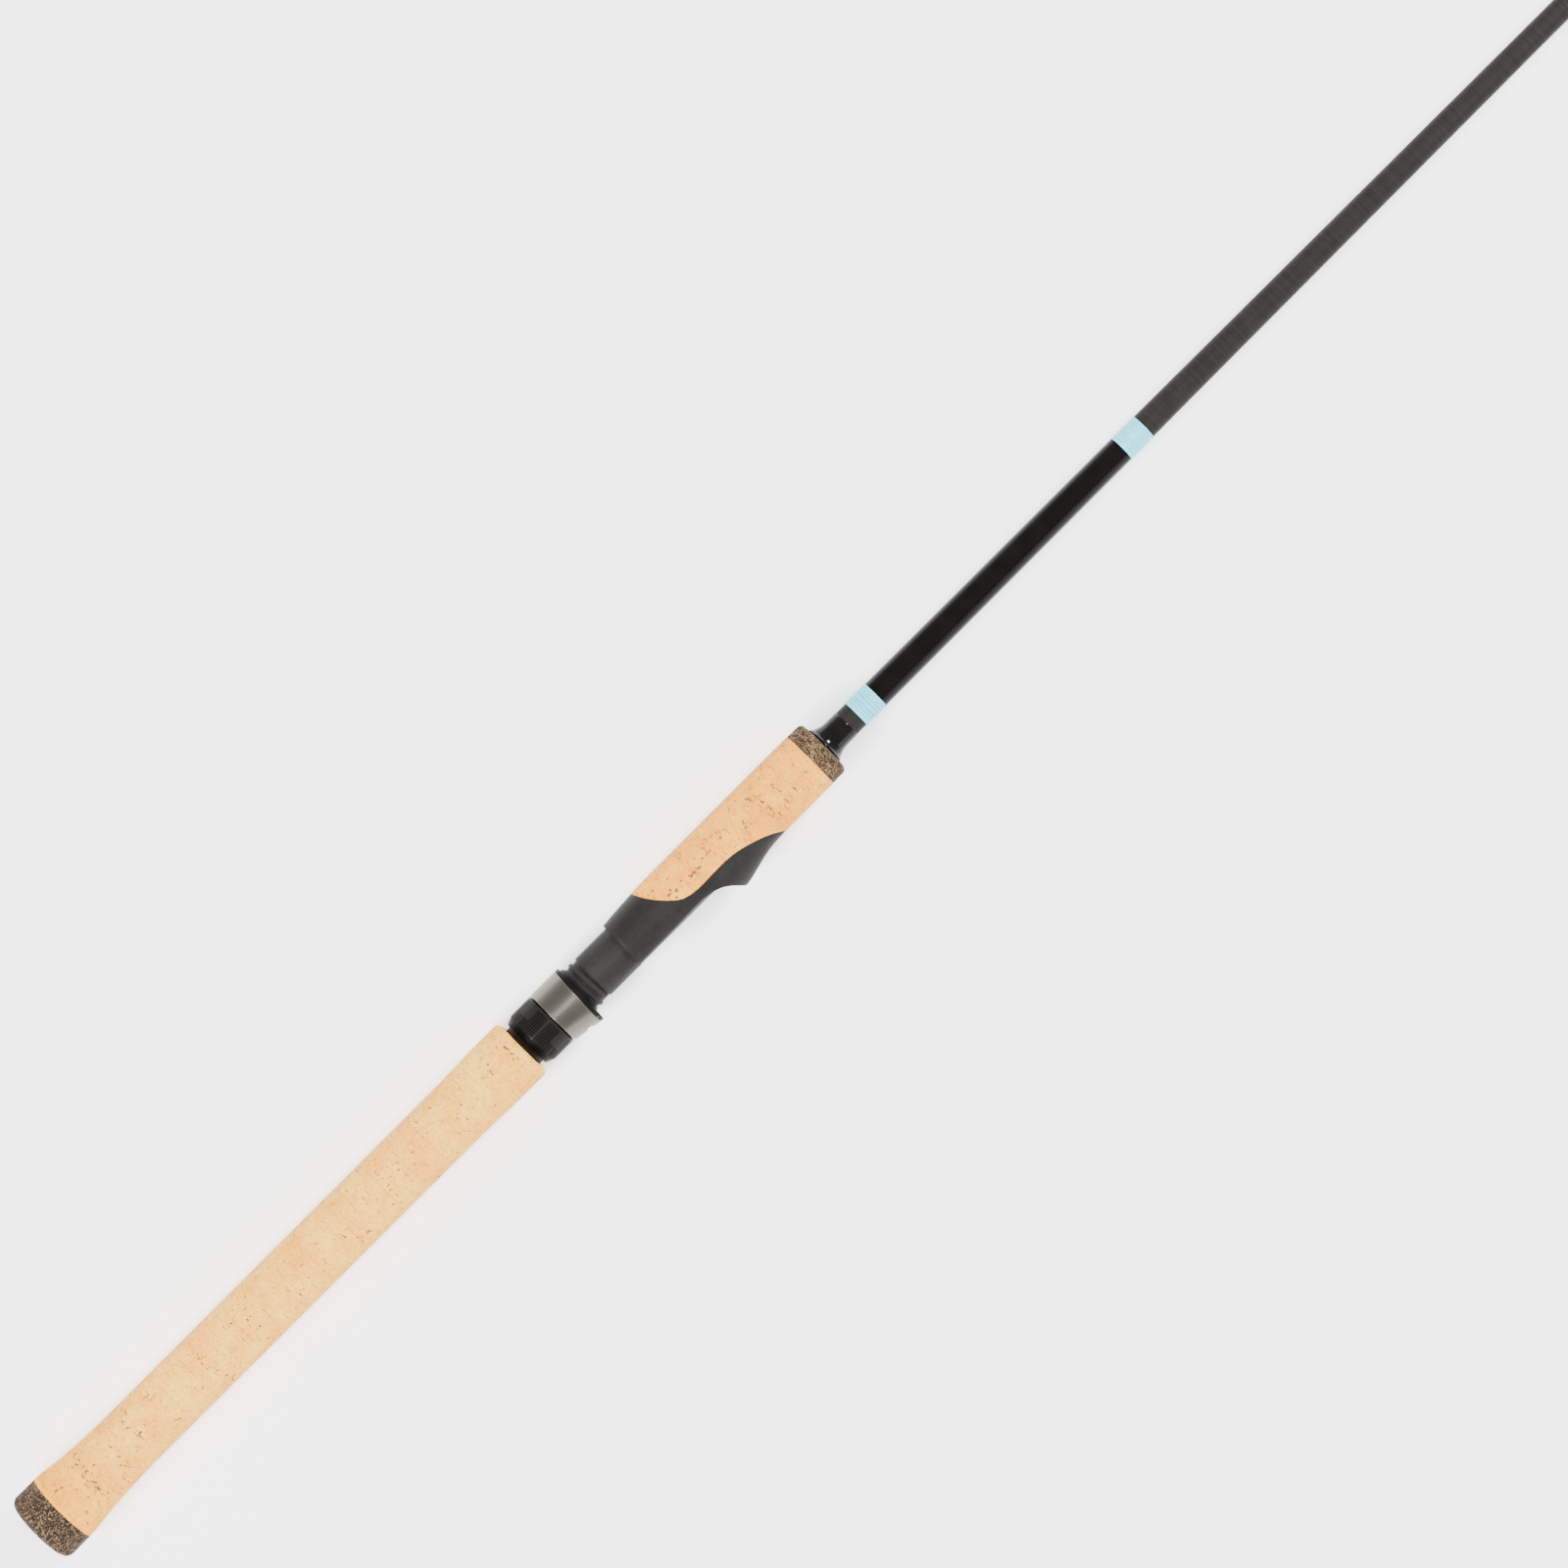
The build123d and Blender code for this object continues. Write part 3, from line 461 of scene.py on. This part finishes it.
# ---------------------------------------------------------------- worked cork
def cut_fine(node, step, sectors):
    """A copy of a CAD node with its faces cut into a fine net along and round the rod."""
    made = bmesh.new()
    made.from_mesh(nodes[node].data)
    bmesh.ops.remove_doubles(made, verts=made.verts, dist=1e-7)
    low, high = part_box(node)
    count = max(2, round((high.x - low.x) / step))
    planes = [((low.x + (high.x - low.x) * i / count, 0, 0), (1, 0, 0)) for i in range(1, count)]
    for i in range(sectors // 2):
        turn = math.pi * (i + 0.37) / (sectors // 2)
        planes.append(((0, 0, 0), (0, math.cos(turn), math.sin(turn))))
    for point, normal in planes:
        parts = made.verts[:] + made.edges[:] + made.faces[:]
        bmesh.ops.bisect_plane(made, geom=parts, dist=1e-7, plane_co=point, plane_no=normal)
    return made


class Marks:
    """Pits and cracks: spots at (x, turn), long and wide, tilted, with a depth."""

    def __init__(self):
        self.rows = []

    def add(self, x, turn, half_length, half_width, tilt, depth):
        self.rows.append((x, turn, half_length, half_width, tilt, depth))

    def depth_at(self, x, turn, radius):
        """Depth and darkness of the deepest mark at each point."""
        deepest = np.zeros_like(x)
        dark = np.zeros_like(x)
        for cx, ct, long, wide, tilt, depth in self.rows:
            near = np.abs(x - cx) < long + 2 * wide
            if not near.any():
                continue
            along = x - cx
            around = (np.mod(turn - ct + math.pi, 2 * math.pi) - math.pi) * radius
            u = along * math.cos(tilt) + around * math.sin(tilt)
            v = -along * math.sin(tilt) + around * math.cos(tilt)
            wave = 0.6 * wide * np.sin(u / wide * 0.9 + cx * 900)
            reach = (u / long) ** 2 + ((v - wave) / wide) ** 2
            fall = np.clip(1.15 - reach, 0, 1)
            deepest = np.maximum(deepest, depth * fall)
            dark = np.maximum(dark, np.where(near, fall, 0))
        return deepest, dark


def upper_turn(y_mm):
    """Turn round the axis of the spot on top of the grip at that Y."""
    return math.acos(max(-1.0, min(1.0, y_mm * MM / GRIP_RADIUS)))


# flaws on the upper side: x, y, half length, half width (mm), tilt, depth (mm)
FLAWS = [
    (18.3, 5.4, 1.1, 0.35, 0.4, 0.4), (20.6, 4.9, 0.8, 0.3, 0.2, 0.35),
    (17.6, -9.6, 0.7, 0.3, 0.0, 0.3), (30.5, 7.6, 1.0, 0.3, 1.3, 0.35),
    (31.6, 3.4, 0.5, 0.4, 1.4, 0.3), (31.0, -1.6, 0.6, 0.4, 1.5, 0.35),
    (30.2, -4.6, 0.7, 0.35, 1.4, 0.3), (31.3, -8.0, 0.5, 0.4, 1.5, 0.3),
    (44.8, 3.0, 1.5, 0.22, 1.45, 0.25), (55.6, -1.8, 2.3, 0.2, 1.4, 0.3),
    (57.0, -0.6, 0.8, 0.35, 0.6, 0.3), (68.4, 5.2, 0.9, 0.25, 0.1, 0.3),
    (70.2, -7.4, 1.0, 0.25, 0.2, 0.25), (92.6, 3.6, 0.5, 0.4, 0.0, 0.25),
    (95.4, -8.8, 0.6, 0.3, 0.4, 0.3), (146.5, 0.8, 0.4, 0.4, 0.0, 0.3),
    (173.2, -8.4, 1.2, 0.4, 0.1, 0.45), (170.0, -7.9, 0.6, 0.3, 0.5, 0.3),
    (191.3, 6.6, 1.4, 0.2, 1.5, 0.3), (192.4, 1.6, 1.6, 0.16, 1.5, 0.25),
    (195.8, 3.0, 2.6, 0.13, 1.53, 0.2), (260.6, 4.4, 2.6, 0.16, 1.5, 0.3),
    (261.0, -2.0, 1.9, 0.14, 1.6, 0.25),
    (347.0, 1.6, 1.1, 0.35, 0.15, 0.35), (350.2, 1.0, 0.8, 0.4, 0.4, 0.35),
    (354.0, 2.2, 0.7, 0.3, 1.1, 0.3), (358.4, 1.2, 1.4, 0.3, 0.1, 0.4),
    (362.6, 0.8, 1.1, 0.3, -0.1, 0.35), (365.8, 2.8, 0.6, 0.35, 0.5, 0.3),
    (394.6, 6.0, 2.4, 0.2, 1.15, 0.35), (397.4, 2.2, 2.0, 0.2, 0.95, 0.35),
    (398.2, -2.4, 2.2, 0.2, 1.5, 0.35), (399.4, -7.6, 2.6, 0.2, 1.45, 0.35),
    (404.6, -3.6, 2.2, 0.14, 1.5, 0.25), (404.9, 3.0, 1.6, 0.14, 1.52, 0.25),
    (386.2, -0.6, 0.6, 0.35, 0.2, 0.3), (376.4, 3.4, 0.5, 0.35, 0.9, 0.3),
]
# clusters of small pits: middle x and y, spread along x and y (mm), count
CLUSTERS = [
    (30.8, 0.5, 2.0, 10.0, 26), (44.0, -6.0, 1.6, 5.0, 8), (55.8, 0.0, 1.8, 4.5, 9),
    (70.0, 0.0, 1.6, 9.0, 8), (93.5, 0.0, 3.0, 9.5, 12), (116.0, 2.0, 4.0, 8.0, 8),
    (348.0, 1.4, 5.0, 1.8, 10), (362.0, 1.0, 6.0, 1.2, 10), (372.0, 3.0, 5.0, 6.0, 10),
    (388.0, 0.0, 3.0, 4.0, 10), (397.5, -1.0, 1.6, 7.0, 12), (405.0, 0.0, 1.0, 6.0, 8),
    (260.5, 2.0, 0.8, 5.0, 7), (192.0, 0.0, 3.0, 8.0, 8), (230.0, 0.0, 6.0, 8.0, 8),
]
SCATTER = (16.0, 420.0)      # stretch of the rod that random pits cover, in mm
UPPER_SKIP = 0.45            # share of the random pits left out on the upper side


def make_marks():
    marks = Marks()
    rng = random.Random(41)
    for x, y, long, wide, tilt, depth in FLAWS:
        marks.add(x * MM, upper_turn(y), long * MM, wide * MM, tilt, depth * MM)
    for middle, y, along, across, count in CLUSTERS:
        for _ in range(count):
            turn = upper_turn(rng.gauss(y, across / 2))
            marks.add(rng.gauss(middle, along / 2) * MM, turn, rng.uniform(0.28, 0.55) * MM,
                      rng.uniform(0.20, 0.30) * MM, rng.uniform(0.0, 1.6),
                      rng.uniform(0.15, 0.3) * MM)
    x, stop = SCATTER
    while x < stop:
        x += rng.uniform(0.4, 3.2)
        turn = rng.uniform(0, 2 * math.pi)
        if math.sin(turn) > 0 and rng.random() < UPPER_SKIP:
            continue
        marks.add(x * MM, turn, rng.uniform(0.25, 0.9) * MM, rng.uniform(0.15, 0.35) * MM,
                  rng.uniform(-0.4, 1.7), rng.uniform(0.15, 0.4) * MM)
    return marks


marks = make_marks()


def work_surface(piece_name, node, made, material, grit, joint):
    """Sink marks and grit into the outer skin of a cut net and make it the visible piece."""
    points = np.array([v.co[:] for v in made.verts])
    x, y, z = points.T
    radius = np.hypot(y, z)
    turn = np.arctan2(z, y)
    low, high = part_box(node)
    along = (x - low.x) / (high.x - low.x)
    bands = np.clip((along * SKIN_BANDS).astype(int), 0, SKIN_BANDS)
    skin = np.array([radius[bands == b].max() if (bands == b).any() else 0
                     for b in range(SKIN_BANDS + 1)])
    outer = radius > skin[bands] - SKIN_THICKNESS
    if grit:
        seeded = np.random.default_rng(len(node) + int(low.x * 1e4))
        deep = grit * seeded.random(len(x)) ** 2
        dark = deep / grit
    else:
        deep, dark = marks.depth_at(x, turn, GRIP_RADIUS)
    edge = np.minimum(x - low.x, high.x - x)
    groove = joint * np.clip(1 - edge / JOINT_WIDTH, 0, 1)
    sink = np.where(outer, np.maximum(deep, groove), 0)
    scale = (radius - sink) / np.maximum(radius, 1e-9)
    for vert, factor in zip(made.verts, scale):
        vert.co.y *= factor
        vert.co.z *= factor
    mesh = bpy.data.meshes.new(piece_name)
    made.to_mesh(mesh)
    made.free()
    values = mesh.attributes.new("pit", "FLOAT", "POINT")
    values.data.foreach_set("value", np.where(outer, dark, 0).astype(np.float32))
    mesh.polygons.foreach_set("use_smooth", [True] * len(mesh.polygons))
    mesh.set_sharp_from_angle(angle=math.radians(38))
    mesh.materials.append(material)
    piece = bpy.data.objects.new(piece_name, mesh)
    bpy.context.collection.objects.link(piece)
    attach(piece, "rod")
    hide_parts(node)


# how pink a ring's clouds are, and its colour factors, where it differs from its neighbours
BLUSHES = {"rear_cork_02": -0.03, "rear_cork_15": 0.08, "rear_cork_16": 0.04,
           "rear_cork_20": 0.04, "fore_cork_2": 0.04, "fore_cork_3": 0.05}
TONES = {"rear_cork_01": (1.0, 0.88, 0.42), "rear_cork_02": (1.0, 0.92, 0.62),
         "rear_cork_03": (1.0, 0.94, 0.82), "rear_cork_04": (1.0, 0.98, 0.95),
         "fore_cork_1": (1.0, 0.82, 0.52), "fore_cork_2": (1.0, 0.83, 0.55)}
FORE_TONE = (0.98, 0.82, 0.56)
REAR_TONE = (1.04, 1.03, 0.97)


def make_cork():
    rng = random.Random(7)
    cork_nodes = sorted(n for n in nodes if n.startswith(("rear_cork", "fore_cork")))
    for seed, node in enumerate(cork_nodes, 1):
        usual = FORE_TONE if node.startswith("fore") else REAR_TONE
        tone = shade_of(TONES.get(node, usual), rng.uniform(0.985, 1.015))
        blush = BLUSHES.get(node, rng.uniform(-0.03, 0.02))
        material = cork(f"cork_{node}", tone, blush, seed)
        work_surface(f"worn_{node}", node, cut_fine(node, *CORK_NET), material, 0,
                     CORK_JOINT_DEPTH)


make_cork()
cap_look = composite("butt_composite", (0.012, 0.007, 0.004), (0.034, 0.021, 0.012),
                     (0.20, 0.125, 0.062), 2100)
ring_look = composite("ring_composite", (0.024, 0.014, 0.007), (0.070, 0.043, 0.021),
                      (0.24, 0.15, 0.070), 1900)
work_surface("gritty_butt_cap", "butt_cap", cut_fine("butt_cap", *CAP_NET),
             cap_look, CAP_GRIT, COMPOSITE_JOINT_DEPTH)
work_surface("gritty_fore_ring", "fore_end_ring", cut_fine("fore_end_ring", *RING_NET),
             ring_look, RING_GRIT, COMPOSITE_JOINT_DEPTH)


# ---------------------------------------------------------------- wound trim bands
def outer_profile(node):
    """The (x, radius) points of a turned CAD node's outer skin."""
    points = {}
    for v in nodes[node].data.vertices:
        key = round(v.co.x, 6)
        points[key] = max(points.get(key, 0.0), math.hypot(v.co.y, v.co.z))
    return sorted(points.items())


def wind_band(piece_name, node, material):
    """A band of thread: a turned closed ring whose skin has one ridge for each turn."""
    profile = np.array(outer_profile(node))
    start, stop = profile[0, 0], profile[-1, 0]
    bore = min(math.hypot(v.co.y, v.co.z) for v in nodes[node].data.vertices)
    turns = round((stop - start) / TRIM_PITCH)
    stations = np.linspace(start, stop, turns * POINTS_PER_TURN + 1)
    skin = np.interp(stations, profile[:, 0], profile[:, 1])
    wave = (1 + np.cos(2 * math.pi * turns * (stations - start) / (stop - start))) / 2
    sectors = BAND_SECTORS
    verts, values = [], []
    for x, radius, low_part in zip(stations, skin, wave):
        for i in range(sectors):
            turn = 2 * math.pi * i / sectors
            r = radius - RIDGE_HEIGHT * low_part
            verts.append((x, r * math.cos(turn), r * math.sin(turn)))
            values.append(low_part)
    for x in (stop, start):
        for i in range(sectors):
            turn = 2 * math.pi * i / sectors
            verts.append((x, bore * math.cos(turn), bore * math.sin(turn)))
            values.append(1.0)
    rings = len(stations) + 2
    faces = []
    for ring in range(rings):
        ahead = (ring + 1) % rings
        for i in range(sectors):
            j = (i + 1) % sectors
            faces.append((ring * sectors + i, ring * sectors + j, ahead * sectors + j,
                          ahead * sectors + i))
    mesh = bpy.data.meshes.new(piece_name)
    mesh.from_pydata(verts, [], faces)
    made = bmesh.new()
    made.from_mesh(mesh)
    bmesh.ops.recalc_face_normals(made, faces=made.faces)
    made.to_mesh(mesh)
    made.free()
    # the turn attribute holds how deep each point lies between turns; the thread material paints
    # it darker as painted shade
    turn_values = mesh.attributes.new("turn", "FLOAT", "POINT")
    turn_values.data.foreach_set("value", values)
    mesh.polygons.foreach_set("use_smooth", [True] * len(mesh.polygons))
    mesh.set_sharp_from_angle(angle=math.radians(70))
    mesh.materials.append(material)
    piece = bpy.data.objects.new(piece_name, mesh)
    bpy.context.collection.objects.link(piece)
    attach(piece, "rod")
    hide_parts(node)


trim_blue = thread("trim_thread", (0.125, 0.68, 0.82))
wind_band("wound_rear_trim", "rear_trim_wrap", trim_blue)
wind_band("wound_front_trim", "front_trim_wrap", trim_blue)


# ---------------------------------------------------------------- CAD nodes
def soften(node, width):
    """Small rounds on a CAD node's sharp edges, to catch the light as moulded edges do."""
    weld = nodes[node].modifiers.new("weld", "WELD")
    weld.merge_threshold = 1e-6
    bevel = nodes[node].modifiers.new("edge_rounds", "BEVEL")
    bevel.width = width
    bevel.segments = 2
    bevel.limit_method = "ANGLE"
    bevel.angle_limit = EDGE_ANGLE
    bevel.use_clamp_overlap = True
    bevel.harden_normals = True


soften("hood_sleeve", 0.32 * MM)
soften("hood_liner", 0.12 * MM)
soften("reel_seat", 0.22 * MM)
soften("winding_check", 0.12 * MM)
paint("reel_seat", moulding("seat_moulding", (0.0105, 0.0098, 0.0088), 0.6, level=0.13))
paint("seat_arbors", moulding("arbor_foam", (0.20, 0.20, 0.19), 0.8, 900))
paint("hood_sleeve", brushed("hood_metal", (0.142, 0.132, 0.110), 0.34))
paint("hood_liner", moulding("liner_plastic", (0.0032, 0.0027, 0.0024), 0.5, level=0.08))
paint("lock_nut", knurled("nut_plastic", (0.0090, 0.0085, 0.0076), NUT_SKIN_RADIUS))
paint("winding_check", lacquer("check_gloss", (0.0030, 0.0027, 0.0024), 0.06, 0.16))
paint("label_coat", lacquer("label_gloss", (0.0026, 0.0022, 0.002), 0.07, 0.1))
paint("blank", graphite("graphite_blank"))
wrap_black = thread("wrap_thread", (0.006, 0.006, 0.0065), 0.1, 0.08, GUIDE_WRAP_PITCH)
for node in ("guide_wraps_1", "guide_wraps_2", "guide_wraps_3", "single_foot_wraps", "tip_wrap"):
    paint(node, wrap_black)
steel = metal_dark("guide_steel", (0.10, 0.10, 0.105), 0.24)
ceramic = lacquer("ring_ceramic", (0.02, 0.02, 0.022), 0.1, 0.4)
for node in nodes:
    if node.startswith("guide_frame") or node == "tip_top":
        paint(node, steel)
    elif node.startswith("guide_ring") or node == "tip_ring":
        paint(node, ceramic)
